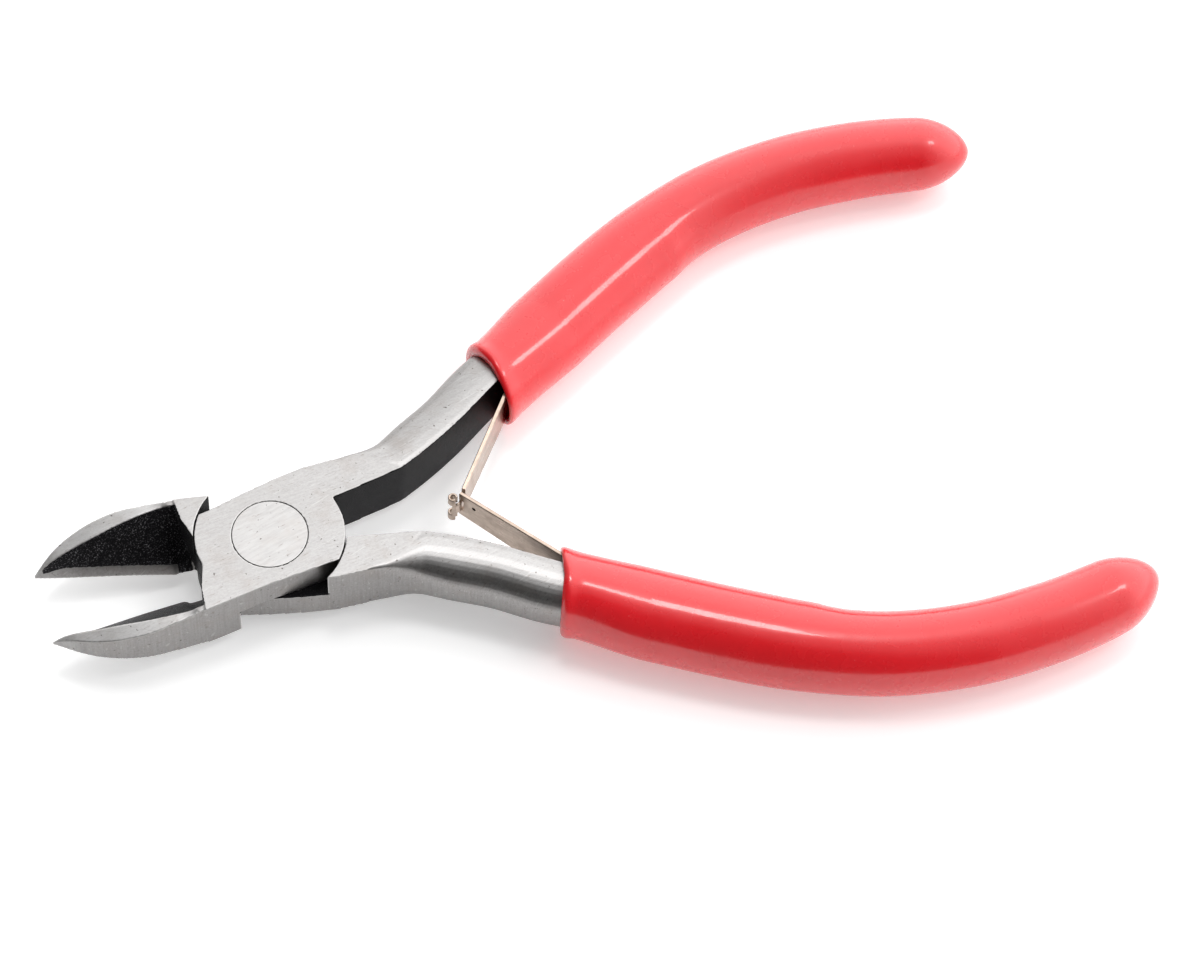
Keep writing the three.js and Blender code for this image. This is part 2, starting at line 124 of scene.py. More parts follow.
# The handle and tang: inner edge, outer edge, half thickness, share of the width that stays flat
# beside the inner wall, and the power that rounds the outer side (1 is an ellipse, less is squarer).
HANDLE = np.array([
    (9.6, 2.9, 6.5, 6.85, 3.4, 0.95, 0.35),
    (12.0, 3.3, 9.8, 7.1, 3.4, 0.83, 0.4),
    (14.9, 3.9, 12.6, 7.9, 3.4, 0.26, 0.55),
    (15.4, 4.05, 13.2, 8.2, 3.4, 0.16, 0.6),
    (15.9, 4.28, 13.7, 8.5, 3.4, 0.12, 0.66),
    (18.6, 5.6, 16.2, 10.1, 3.4, 0.1, 0.72),
    (22.4, 7.8, 19.8, 12.1, 3.4, 0.1, 0.74),
    (27.4, 11.2, 24.7, 15.5, 3.35, 0.1, 0.76),
    (36.5, 16.9, 34.3, 20.4, 2.9, 0.06, 0.88),
    (43.3, 21.1, 41.8, 23.9, 2.6, 0.06, 0.88),
    (50.1, 24.7, 48.8, 27.5, 2.4, 0.06, 0.88),
    (57.7, 27.6, 56.9, 30.5, 2.2, 0.06, 0.88),
    (66.0, 29.0, 65.9, 31.9, 2.1, 0.06, 0.88),
    (74.4, 28.9, 74.8, 31.6, 2.0, 0.06, 0.88),
    (81.4, 28.0, 82.0, 30.5, 1.8, 0.06, 0.88),
])
HANDLE_STATIONS = 260
HANDLE_POINTS = 25
WALL_CORNER = 0.985  # share of the half thickness where the flat inner wall begins

GRIP_LINE = [
    (27.2, 13.2), (35.6, 18.3), (42.5, 22.4), (49.4, 26.1), (57.3, 29.1),
    (66.0, 30.5), (74.0, 30.4), (80.5, 29.5), (87.2, 28.0),
]
# Share of the grip's length, reach to the inner side, reach to the outer side, half thickness.
GRIP_SIZE = np.array([
    (0.0, 4.7, 4.2, 4.62),
    (0.012, 4.72, 4.2, 4.6),
    (0.03, 4.6, 4.05, 4.45),
    (0.15, 4.9, 4.6, 4.4),
    (0.3, 4.9, 4.6, 4.4),
    (0.395, 4.8, 4.45, 4.4),
    (0.425, 4.52, 4.4, 4.4),
    (0.46, 4.3, 4.34, 4.4),
    (0.58, 4.25, 4.24, 4.4),
    (0.75, 4.2, 4.14, 4.4),
    (0.88, 4.0, 4.0, 4.2),
    (1.0, 3.6, 3.5, 3.8),
])
CAVITY_SIZE = np.array([
    (0.0, 4.0, 2.75, 3.3),
    (0.04, 3.8, 2.75, 3.35),
    (0.15, 3.6, 2.9, 3.6),
    (0.36, 3.6, 2.3, 3.55),
    (0.38, 2.4, 2.3, 3.5),
    (0.95, 1.9, 1.9, 2.9),
])
GRIP_SQUARENESS = (0.94, 0.94)  # of the outer and the inner side: 1 is an ellipse
CAVITY_SQUARENESS = (0.95, 0.74)
GRIP_DROP = 0.4  # how far the grip's middle lies below the joint's
GRIP_DROP_FROM = 0.15  # share of the length by which it has dropped
MOUTH_SLANT = (0.2, 0.42)  # how far the outer side trails and the inner side leads, per mm of reach
MOUTH_LENGTH = 0.08
MOUTH_POWER = 1.3
LIP_START = 0.012
LIP_REACH = 0.62
LIP_STEPS = 8
GRIP_END = 0.09  # share of the length that the closed end takes up
GRIP_END_POWERS = (1.9, 0.56)  # that round the closed end
GRIP_POINTS = 96
END_RINGS = 22
BODY_RINGS = 150
CAVITY_RINGS = 50

LEAF_THICKNESS = 0.42
LEAF_ROOT_HEIGHT = 5.0
LEAF_TIP_HEIGHT = 3.9
LEAF_ROOT = np.array([28.8, 10.95])
LEAF_MEETING = np.array([20.4, 0.0])
LEAF_EDGE = 0.07
LEAF_TAIL_OFFSET = 0.5
LEAF_TAIL_ROWS = (7.6, 9.4)  # of HANDLE
LEAF_STRAIGHT_FROM = 0.9  # past its root
BLEND_AFTER = 3.2  # where the bend ends, past its root
NARROW_FROM = 0.6
TONGUE_HEIGHT = 1.5
TONGUE_THICKNESS = 0.34
TONGUE_OVERLAP = 0.4
TONGUE_PAST = 0.45
CURL_RADIUS = 0.38
CURL_CENTRE = (-0.98, -0.16)  # from the meeting point
CURL_TURN = (-0.5 * math.pi, -2.1 * math.pi)
CURL_THICKNESS = 0.28
EAR_HEIGHT = 1.05
EAR_THICKNESS = 0.26
FORK_PAST = 0.15
FORK_DEPTH = 0.45
NOTCH_HEIGHT = 1.8
NOTCH_REACH = 2  # how far the cutting shape passes the leaf
LEAF_HOLE = (1.75, 0.75)  # back from the meeting point, and above the middle
LEAF_HOLE_RADIUS = 0.24
LEAF_HOLE_BOTTOM = 0.1  # from the leaf's middle
HOLE_SHADE_REACH = 1.15  # of the hole's radius: the faces inside are painted near black, as painted shade

SPRING_RIVET_ROW = 9.0  # of HANDLE
SPRING_RIVET_HEAD = (1.4, 0.45)  # radius and height
SPRING_RIVET_SHANK = (0.75, 2.12)  # radius, and reach into the tang
SPRING_RIVET_TIP = (0.65, 2.0)  # radius at the end, and where it starts to narrow
SPRING_RIVET_GAP = 0.08
SPRING_HOLE = (0.83, -1, 2.2)  # radius, and where it starts and ends from the tang's inner wall

# ---- Colours: a darker and a lighter tone, or one colour ----
FLAT_STEEL = ((0.30, 0.292, 0.288), (0.40, 0.392, 0.388))
# Painted highlight: a lighter copy of the steel for the jaws' tops and tips
JAW_STEEL_PAINTED_HIGHLIGHT = ((0.44, 0.432, 0.428), (0.56, 0.552, 0.548))
# Painted shade: a darker copy of the steel for faces that stand upright
SIDE_STEEL_PAINTED_SHADE = ((0.25, 0.24, 0.235), (0.35, 0.34, 0.335))
STEEL_STAIN = (0.27, 0.235, 0.21)
SCRATCHES = ((0.25, 0.23, 0.22), (0.50, 0.49, 0.485))
# Painted highlight along the steel's rounded edges
EDGE_PAINTED_HIGHLIGHT = (0.70, 0.69, 0.68)
FORGED_SKIN = ((0.014, 0.0135, 0.015), (0.27, 0.27, 0.28))
SCUFF = (0.16, 0.125, 0.105)
PIT = (0.06, 0.045, 0.04)
RIVET_STEEL = ((0.34, 0.332, 0.328), (0.43, 0.422, 0.417))
RIVET_STAIN = (0.34, 0.30, 0.275)
NICKEL = ((0.41, 0.325, 0.265), (0.55, 0.45, 0.38))
NICKEL_STAIN = (0.26, 0.20, 0.155)
# Painted shade inside the leaf's small hole
LEAF_HOLE_PAINTED_SHADE = (0.01, 0.008, 0.007)
VINYL = ((0.76, 0.008, 0.014), (0.84, 0.012, 0.021))
DUST = (0.85, 0.62, 0.60)
PAPER = (0.9, 0.9, 0.9, 1)

# ---- The studio: directions in degrees round and above the object, sizes and distances in metres ----
FLOOR_SIZE = 4.0
FLOOR_GLOW = 0.32
# The light tent: the side it is brightest on, and its brightness from the far side (0) to there (1),
# with those two ends first.
TENT_AZIMUTH = 120
TENT = [(0.0, 0.1), (1.0, 2.5), (0.3, 0.1), (0.5, 0.65), (0.68, 1.6), (0.8, 2.3)]
# Lamps: azimuth, elevation, size and power.
LAMPS = {"right lamp": (85, 55, 0.16, 0.75), "rear lamp": (165, 75, 0.2, 1.5)}
LAMP_DISTANCE = 1.0
CAMERA_AZIMUTH = -21.38
CAMERA_ELEVATION = 58.78
CAMERA_ROLL = 4.46
CAMERA_DISTANCE = 0.3998
CAMERA_LENS = 114.98
CAMERA_SENSOR = 36
AIM = Vector((3.38, -1.33, 0.075))  # from the middle of the CAD box, in millimetres


# ---- Curves and tables ----
def hermite(t, y0, y1, slope0, slope1):
    return (
        (2 * t**3 - 3 * t**2 + 1) * y0 + (t**3 - 2 * t**2 + t) * slope0
        + (3 * t**2 - 2 * t**3) * y1 + (t**3 - t**2) * slope1
    )


def spline(points, rows):
    """A smooth curve through points, read at row numbers: 0 is the first point, 1 the second."""
    p = np.array(points, float)
    p = np.vstack([2 * p[0] - p[1], p, 2 * p[-1] - p[-2]])
    rows = np.atleast_1d(np.array(rows, float))
    i = np.clip(np.floor(rows).astype(int), 0, len(p) - 4)
    t = (rows - i)[:, None]
    p0, p1, p2, p3 = (p[i + k] for k in range(4))
    gaps = (p1 - p0, p2 - p1, p3 - p2)
    d0, d1, d2 = (np.sqrt(np.linalg.norm(gap, axis=1))[:, None] for gap in gaps)
    slope1 = ((p1 - p0) / d0 - (p2 - p0) / (d0 + d1) + (p2 - p1) / d1) * d1
    slope2 = ((p2 - p1) / d1 - (p3 - p1) / (d1 + d2) + (p3 - p2) / d2) * d1
    return hermite(t, p1, p2, slope1, slope2)


def tangents(points):
    along = np.gradient(points, axis=0)
    return along / np.linalg.norm(along, axis=1)[:, None]


def smooth(at, table):
    """Reads every column of a table but the first, which is the place, without overshooting a step."""
    x, y = table[:, 0], table[:, 1:]
    step = np.diff(x)[:, None]
    rise = np.diff(y, axis=0) / step
    both = rise[:-1] * rise[1:]
    mean = np.where(both > 0, 2 * both / np.where(both > 0, rise[:-1] + rise[1:], 1), 0)
    slope = np.vstack([rise[:1], mean, rise[-1:]])
    at = np.atleast_1d(np.array(at, float))
    i = np.clip(np.searchsorted(x, at) - 1, 0, len(x) - 2)
    t = ((at - x[i]) / step[i, 0])[:, None]
    return hermite(t, y[i], y[i + 1], slope[i] * step[i], slope[i + 1] * step[i])


def signed_power(value, power):
    return np.sign(value) * np.abs(value) ** power


def arc(radius, start, end, steps):
    turn = np.linspace(start, end, steps)
    return [(radius * math.cos(a), radius * math.sin(a)) for a in turn]


# ---- Shells: (points, faces) in millimetres ----
def loft(rings):
    """A skin over rings of equally many points, with a flat lid at each end."""
    rings = np.array(rings, float)
    rows, count = rings.shape[:2]
    faces = []
    for r in range(rows - 1):
        below, above = r * count, (r + 1) * count
        for i in range(count):
            j = (i + 1) % count
            faces.append((below + i, below + j, above + j, above + i))
    faces.append(tuple(range(count))[::-1])
    faces.append(tuple(range((rows - 1) * count, rows * count)))
    return outward(rings.reshape(-1, 3), faces)


def outward(points, faces):
    """Turns a closed shell's faces to point out."""
    volume = 0.0
    for face in faces:
        a = points[face[0]]
        for i in range(1, len(face) - 1):
            volume += np.dot(a, np.cross(points[face[i]], points[face[i + 1]]))
    return points, faces if volume > 0 else [face[::-1] for face in faces]


def prism(outline, low, high):
    return loft([[(x, y, z) for x, y in outline] for z in (low, high)])


def disc(radius, low, high, steps=160):
    return prism(arc(radius, 0, 2 * math.pi * (1 - 1 / steps), steps), low, high)


def placed(shell, half):
    """Puts a shell that is drawn for the top half on its own half: the bottom half has it turned over."""
    if half == "top":
        return shell
    points, faces = shell
    return points * (1, -1, 1), [face[::-1] for face in faces]


def make(name, shell):
    points, faces = shell
    mesh = bpy.data.meshes.new(name)
    mesh.from_pydata(points.tolist(), [], faces)
    made = bpy.data.objects.new(name, mesh)
    bpy.context.scene.collection.objects.link(made)
    return made


def apply_modifiers(made):
    graph = bpy.context.evaluated_depsgraph_get()
    mesh = bpy.data.meshes.new_from_object(made.evaluated_get(graph))
    made.modifiers.clear()
    made.data = mesh


def combine(made, shell, operation):
    tool = make("tool", shell)
    modifier = made.modifiers.new("cut", "BOOLEAN")
    modifier.solver = "MANIFOLD"
    modifier.operation = operation
    modifier.object = tool
    apply_modifiers(made)
    bpy.data.objects.remove(tool)


def to_metres(made, crease=None):
    """Scales the finished mesh, and shades it smooth except along creases sharper than that angle."""
    made.data.transform(Matrix.Scale(MM, 4))
    made.data.shade_smooth()
    if crease:
        made.data.set_sharp_from_angle(angle=math.radians(crease))


# ---- Steel halves ----
def head_outline():
    """The plate round the pivot in plan: the handle's root is at +X +Y and the jaw's at -X -Y."""
    return (
        [(8.3, 6.86), (5.0, 6.75), (1.4, 6.1), (-1.7, 5.4), (-4.8, 4.6)]
        + arc(LAP_RADIUS, 2.55, math.pi + 0.21, 30)
        + [(-8.3, -4.2), (-8.5, -6.75), (-7.0, -6.6), (-2.6, -5.8), (1.75, -5.3)]
        + arc(LAP_RADIUS, -0.68, 0.32, 30)
        + [(12.0, 3.3), (14.9, 3.92), (13.0, 5.4), (10.6, 6.2)]
    )


def jaw_section(x):
    """The jaw's section across the tool at a distance from the pivot, edge first."""
    back, rim, low, high, relief = smooth(x, JAW)[0]
    edge = x * math.tan(REST_ANGLE) + relief
    strip = min(EDGE_STRIP, STRIP_SHARE * math.hypot(high - low, rim - edge))
    slope = max(STRIP_SLOPE, math.atan2(high - low, rim - edge))
    return [
        (edge, low),
        (edge + strip * math.cos(slope), low + strip * math.sin(slope)),
        (rim, high),
        (back, high),
        (back, low),
    ]


def jaw():
    places = np.linspace(JAW[0, 0], JAW[-1, 0], JAW_STATIONS)
    return loft([[(-x, -y, z) for y, z in jaw_section(x)] for x in places])


def handle_edges(rows):
    return spline(HANDLE[:, 0:2], rows), spline(HANDLE[:, 2:4], rows)


def handle():
    rows = np.linspace(0, len(HANDLE) - 1, HANDLE_STATIONS)
    inner, outer = handle_edges(rows)
    numbered = np.column_stack([np.arange(len(HANDLE)), HANDLE[:, 4:7]])
    sizes = smooth(rows, numbered)
    turn = np.linspace(0, math.pi, HANDLE_POINTS)
    rings = []
    for a, b, (half, flat, power) in zip(inner, outer, sizes):
        share = flat + (1 - flat) * signed_power(np.sin(turn), power)
        height = signed_power(np.cos(turn), power)
        share = np.concatenate([share, [0, 0]])
        height = np.concatenate([height, [-WALL_CORNER, WALL_CORNER]])
        plan = a + share[:, None] * (b - a)
        rings.append(np.column_stack([plan, MID + half * height]))
    return loft(rings)


def inner_wall(row):
    """A place on the tang's inner wall, and the direction from it into the steel."""
    before, point, after = spline(HANDLE[:, 0:2], [row - 0.01, row, row + 0.01])
    along = (after - before) / np.linalg.norm(after - before)
    return point, np.array([-along[1], along[0]])


def vertex_data(mesh):
    count = len(mesh.vertices)
    places, normals = np.empty(count * 3), np.empty(count * 3)
    mesh.vertices.foreach_get("co", places)
    mesh.vertex_normals.foreach_get("vector", normals)
    return places.reshape(-1, 3), normals.reshape(-1, 3)


def spread(mesh, values, passes):
    """Averages a value over each vertex's neighbours, so that a boundary turns into a slope."""
    ends = np.empty(len(mesh.edges) * 2, int)
    mesh.edges.foreach_get("vertices", ends)
    a, b = ends.reshape(-1, 2).T
    number = np.bincount(a, minlength=len(values)) + np.bincount(b, minlength=len(values))
    for _ in range(passes):
        near = np.bincount(a, values[b], len(values)) + np.bincount(b, values[a], len(values))
        values = (1 - NEIGHBOUR_SHARE) * values + NEIGHBOUR_SHARE * near / np.maximum(number, 1)
    return values


def store(mesh, name, values):
    mesh.attributes.new(name, "FLOAT", "POINT").data.foreach_set("value", values.astype(np.float32))


def forged_places(places, normals):
    """1 where the steel keeps its black forged skin, else 0, on a half whose handle is at +Y."""
    x, y, z = places.T
    lean_x, lean_y, lean_z = normals.T
    radius = np.hypot(x, y)
    past_lap = radius - LAP_RADIUS

    # The laps' round walls and floors, the step beside the bevel, and the throat.
    upright = np.abs(lean_z) < WALL_TILT
    radial = np.abs(x * lean_x + y * lean_y) > ROUND_WALL * radius
    black = upright & radial & (past_lap > LAP_SKIN[0]) & (past_lap < LAP_SKIN[1])
    black |= (np.abs(z - MID) < LAP_FLOOR_SKIN[0]) & (past_lap < LAP_FLOOR_SKIN[1])
    black |= upright & (-x > STEP_SKIN[0]) & (-x < STEP_SKIN[1]) & (lean_x < -0.5)
    black |= upright & (lean_y < -0.2) & (x > 0) & (x < THROAT_SKIN[0]) & (y > THROAT_SKIN[1])

    # The handle's inner wall.
    wall = spline(HANDLE[:, 0:2], np.linspace(0, len(HANDLE) - 1, 320))
    near = (x > INNER_WALL_START) & (np.abs(lean_z) < INNER_WALL_TILT)
    gap = np.full(len(x), np.inf)
    gap[near] = np.min(np.linalg.norm(places[near, None, :2] - wall[None], axis=2), axis=1)
    black |= gap < INNER_WALL_REACH

    # The bevel, between the ground strip and the rim.
    stations = np.linspace(JAW[0, 0], JAW[-1, 0], 80)
    sections = np.array([jaw_section(station) for station in stations])
    low_z = np.interp(-x, stations, sections[:, 1, 1])
    rim_y = np.interp(-x, stations, sections[:, 2, 0])
    rim_z = np.interp(-x, stations, sections[:, 2, 1])
    jaw_part = (-x > BEVEL_START) & (-x < BLACK_END) & (y < 0)
    above_strip = z > low_z + BEVEL_MARGIN
    behind_strip = (-x < STRIP_START) & (lean_z > -0.5)
    on_top = (z > rim_z - 2 * BEVEL_MARGIN) & (lean_z > 0.9)
    within_rim = -y < rim_y - BEVEL_MARGIN
    black |= jaw_part & within_rim & (above_strip | behind_strip) & ~on_top
    return black.astype(float)


def lever(half):
    made = make(f"fine_{half}_lever", placed(prism(head_outline(), 0, HEAD), half))
    combine(made, placed(jaw(), half), "UNION")
    combine(made, placed(handle(), half), "UNION")
    lap = LAP_RADIUS + LAP_GAP
    if half == "top":
        gap = SEAT_GAP
        cuts = [
            (lap, -PAST, MID + LAP_GAP / 2),
            (RIVET_HEAD + gap, HEAD - RIVET_DEPTH - gap, HEAD + PAST),
        ]
    else:
        gap = RUN_GAP
        cuts = [
            (lap, MID - LAP_GAP / 2, HEAD + PAST),
            (RIVET_BACK + gap, -PAST, RIVET_DEPTH + gap),
        ]
    for radius, low, high in cuts + [(RIVET_SHANK + gap, -PAST, HEAD + PAST)]:
        combine(made, disc(radius, low, high), "DIFFERENCE")
    combine(made, placed(along_cross(disc(*SPRING_HOLE, 48)), half), "DIFFERENCE")

    # The voxels run along the cutting edge, which keeps it straight.
    along_edge = Matrix.Rotation(-REST_ANGLE if half == "top" else REST_ANGLE, 4, "Z")
    made.data.transform(along_edge)
    remesh = made.modifiers.new("fine", "REMESH")
    remesh.mode = "VOXEL"
    remesh.voxel_size = VOXEL
    rounding = made.modifiers.new("broken edges", "SMOOTH")
    rounding.factor = 0.5
    rounding.iterations = EDGE_ROUNDS
    apply_modifiers(made)
    made.data.transform(along_edge.inverted())

    places, normals = vertex_data(made.data)
    mean = [spread(made.data, normals[:, axis], EDGE_REACH) for axis in range(3)]
    store(made.data, "edge", 1 - np.linalg.norm(mean, axis=0))
    if half == "bottom":
        places, normals = places * (1, -1, 1), normals * (1, -1, 1)
    store(made.data, "forged", spread(made.data, forged_places(places, normals), SKIN_REACH))
    to_metres(made)
    return made


# ---- Rivets ----
def revolved(profile, steps=128):
    """A shell turned about Z from (radius, height) points that start and end near the axis."""
    turn = np.linspace(0, 2 * math.pi, steps, endpoint=False)
    rings = [
        np.column_stack([r * np.cos(turn), r * np.sin(turn), np.full(steps, z)]) for r, z in profile
    ]
    return loft(rings)


def rounded_end(radius, face, inward, edge, steps=5):
    """Profile points over a flat end: from the axis out, then round the edge."""
    points = [(radius * share, face) for share in (0.01, 0.25, 0.5, 0.75)]
    points.append((radius - 2 * edge, face))
    for i in range(steps):
        turn = math.pi / 2 * i / (steps - 1)
        out, down = edge * math.sin(turn), edge * (1 - math.cos(turn))
        points.append((radius - edge + out, face + inward * down))
    return points


def pivot_rivet():
    top = rounded_end(RIVET_HEAD, HEAD, -1, RIVET_EDGE)
    back = rounded_end(RIVET_BACK, 0, 1, RIVET_EDGE)
    waist = [
        (RIVET_BACK, RIVET_DEPTH), (RIVET_SHANK, RIVET_DEPTH),
        (RIVET_SHANK, HEAD - RIVET_DEPTH), (RIVET_HEAD, HEAD - RIVET_DEPTH),
    ]
    made = make("fine_pivot_rivet", revolved(back + waist + top[::-1]))
    to_metres(made, SMOOTH_BELOW)
    return made


def along_cross(shell):
    """Stands a shell drawn about Z on the tang's inner wall, its +Z pointing into the steel."""
    point, inward = inner_wall(SPRING_RIVET_ROW)
    points, faces = shell
    side = np.array([-inward[1], inward[0]])
    plan = point + points[:, 2:3] * inward + points[:, 0:1] * side
    return outward(np.column_stack([plan, MID + points[:, 1]]), faces)


def spring_rivet(half):
    seat = -LEAF_TAIL_OFFSET - LEAF_THICKNESS / 2 - SPRING_RIVET_GAP
    broad, tall = SPRING_RIVET_HEAD
    radius, reach = SPRING_RIVET_SHANK
    tip, narrows = SPRING_RIVET_TIP
    dome = np.linspace(0.03, math.pi / 2, 9)
    head = [(broad * math.sin(t), seat - tall * math.cos(t)) for t in dome]
    shank = [(radius, seat), (radius, narrows), (tip, reach), (0.02, reach)]
    made = make(f"fine_{half}_spring_rivet", placed(along_cross(revolved(head + shank, 48)), half))
    to_metres(made, SMOOTH_BELOW)
    return made


# ---- Grips ----
def grip_frame(at):
    """The grip's middle at a share of its length, the way along it and the way to its outer side."""
    rows = np.linspace(0, len(GRIP_LINE) - 1, 400)
    line = spline(GRIP_LINE, rows)
    run = np.concatenate([[0], np.cumsum(np.linalg.norm(np.diff(line, axis=0), axis=1))])
    run /= run[-1]
    along = tangents(line)
    centre, forward = (
        np.array([np.interp(at, run, values[:, k]) for k in (0, 1)]) for values in (line, along)
    )
    forward /= np.linalg.norm(forward)
    return centre, forward, np.array([-forward[1], forward[0]])


def oval(at, inner, outer, half, powers):
    centre, along, across = grip_frame(at)
    turn = np.linspace(0, 2 * math.pi, GRIP_POINTS, endpoint=False)
    middle = MID - GRIP_DROP * min(1, at / GRIP_DROP_FROM)
    on_outside = np.cos(turn) > 0
    slant = np.where(on_outside, *MOUTH_SLANT) * max(0, 1 - at / MOUTH_LENGTH) ** MOUTH_POWER
    power = np.where(on_outside, *powers)
    reach = signed_power(np.cos(turn), power) * np.where(on_outside, outer, inner)
    plan = centre + reach[:, None] * (across + slant[:, None] * along)
    return np.column_stack([plan, middle + signed_power(np.sin(turn), power) * half])


def skin_ring(at):
    inner, outer, half = smooth(at, GRIP_SIZE)[0]
    into = max(0.0, (at - 1 + GRIP_END) / GRIP_END)
    full = (1 - into ** GRIP_END_POWERS[0]) ** GRIP_END_POWERS[1]
    return oval(at, full * inner, full * outer, full * half, GRIP_SQUARENESS)


def cavity_ring(at):
    inner, outer, half = smooth(at, CAVITY_SIZE)[0]
    return oval(at, inner, outer, half, CAVITY_SQUARENESS)


def grip(half):
    """One closed sleeve: the skin from the closed end to the mouth, the rolled lip, then the hollow."""
    turns = np.linspace(math.pi / 2 - 0.02, 0, END_RINGS)
    end = [1 - GRIP_END * (1 - math.sin(t)) for t in turns]
    body = np.linspace(1 - GRIP_END, LIP_START, BODY_RINGS)[1:]
    rings = [skin_ring(at) for at in [*end, *body]]
    outside, inside = skin_ring(LIP_START), cavity_ring(LIP_START)
    forward = grip_frame(0)[1]
    for i in range(1, LIP_STEPS):
        turn = math.pi * i / LIP_STEPS
        share = (1 - math.cos(turn)) / 2
        ring = outside * (1 - share) + inside * share
        ring[:, :2] -= forward * LIP_REACH * math.sin(turn)
        rings.append(ring)
    rings += [cavity_ring(at) for at in np.linspace(LIP_START, CAVITY_SIZE[-1, 0], CAVITY_RINGS)]
    made = make(f"fine_{half}_grip", placed(loft(rings), half))
    to_metres(made)
    return made


# ---- Leaf springs ----
def blade(path, heights, thickness=LEAF_THICKNESS):
    """A strip on edge along a path in plan, with slightly broken edges."""
    path = np.array(path, float)
    along = tangents(path)
    across = np.column_stack([-along[:, 1], along[:, 0]])
    rings = []
    for point, side, height in zip(path, across, heights):
        half, broad = height / 2, thickness / 2
        low, narrow = half - LEAF_EDGE, broad - LEAF_EDGE
        section = [
            (broad, -low), (broad, low), (narrow, half), (-narrow, half),
            (-broad, low), (-broad, -low), (-narrow, -half), (narrow, -half),
        ]
        rings.append([(*(point + sideways * side), MID + z) for sideways, z in section])
    return loft(rings)


leaf_length = np.linalg.norm(LEAF_MEETING - LEAF_ROOT)
leaf_along = (LEAF_MEETING - LEAF_ROOT) / leaf_length
leaf_side = np.array([-leaf_along[1], leaf_along[0]])


def leaf_path(past):
    """From the tail's far end along the tang, round the bend and on to or past the meeting point."""
    tail = []
    for row in np.linspace(LEAF_TAIL_ROWS[1], LEAF_TAIL_ROWS[0], 16):
        point, inward = inner_wall(row)
        tail.append(point - LEAF_TAIL_OFFSET * inward)
    straight = leaf_length + past - LEAF_STRAIGHT_FROM
    distances = LEAF_STRAIGHT_FROM + straight * np.linspace(0, 1, 36)
    arm = [LEAF_ROOT + leaf_along * distance for distance in distances]
    bend = spline([tail[-2], tail[-1], arm[0], arm[1]], np.linspace(1, 2, 8))[1:-1]
    return np.array(tail + list(bend) + arm)


def leaf_heights(path):
    away = (path - LEAF_ROOT) @ leaf_along / leaf_length
    return LEAF_ROOT_HEIGHT + (LEAF_TIP_HEIGHT - LEAF_ROOT_HEIGHT) * np.clip(away, 0, 1)


def top_leaf():
    """The leaf that narrows to a tongue, which passes the other's fork and ends in two curled ears."""
    path = leaf_path(-NARROW_FROM)
    made = make("fine_top_leaf", blade(path, leaf_heights(path)))
    start = LEAF_MEETING - leaf_along * (NARROW_FROM + TONGUE_OVERLAP)
    bend = LEAF_MEETING + leaf_along * TONGUE_PAST
    curl = LEAF_MEETING + np.array(CURL_CENTRE) + arc(CURL_RADIUS, *CURL_TURN, 24)
    straight = [start + (bend - start) * share for share in np.linspace(0, 1, 8)]
    head = [bend + (curl[0] - bend) * share for share in (0.3, 0.6, 0.8)]
    tongue = straight + head
    bar = [head[-1], *curl[:3]]
    combine(made, blade(tongue, [TONGUE_HEIGHT] * len(tongue), TONGUE_THICKNESS), "UNION")
    combine(made, blade(bar, [LEAF_TIP_HEIGHT] * len(bar), CURL_THICKNESS), "UNION")
    points, faces = blade(curl, [EAR_HEIGHT] * len(curl), EAR_THICKNESS)
    for side in (-1, 1):
        middle = side * (LEAF_TIP_HEIGHT - EAR_HEIGHT) / 2
        combine(made, (points + (0, 0, middle), faces), "UNION")
    to_metres(made, LEAF_SMOOTH_BELOW)
    return made


def bottom_leaf():
    """The leaf that ends in a fork, with a small hole beside it."""
    path = leaf_path(FORK_PAST)
    made = make("fine_bottom_leaf", placed(blade(path, leaf_heights(path)), "bottom"))
    past = NOTCH_REACH
    corners = [(-FORK_DEPTH, -past), (-FORK_DEPTH, past), (past, past), (past, -past)]
    outline = [LEAF_MEETING + leaf_along * a + leaf_side * b for a, b in corners]
    notch = prism(outline, MID - NOTCH_HEIGHT / 2, MID + NOTCH_HEIGHT / 2)
    combine(made, placed(notch, "bottom"), "DIFFERENCE")

    hole = LEAF_MEETING - leaf_along * LEAF_HOLE[0]
    points, faces = disc(LEAF_HOLE_RADIUS, -PAST, LEAF_HOLE_BOTTOM, 24)
    plan = hole + points[:, 2:3] * leaf_side + points[:, 0:1] * leaf_along
    drill = outward(np.column_stack([plan, MID + LEAF_HOLE[1] + points[:, 1]]), faces)
    combine(made, placed(drill, "bottom"), "DIFFERENCE")
    # Painted shade: the faces in and round the hole are marked for the material to colour near black
    middle = Vector((hole[0], -hole[1], MID + LEAF_HOLE[1]))
    reach = HOLE_SHADE_REACH * LEAF_HOLE_RADIUS
    dark = [float((face.center - middle).length < reach) for face in made.data.polygons]
    made.data.attributes.new("hole_painted_shade", "FLOAT", "FACE").data.foreach_set("value", dark)
    to_metres(made, LEAF_SMOOTH_BELOW)
    return made


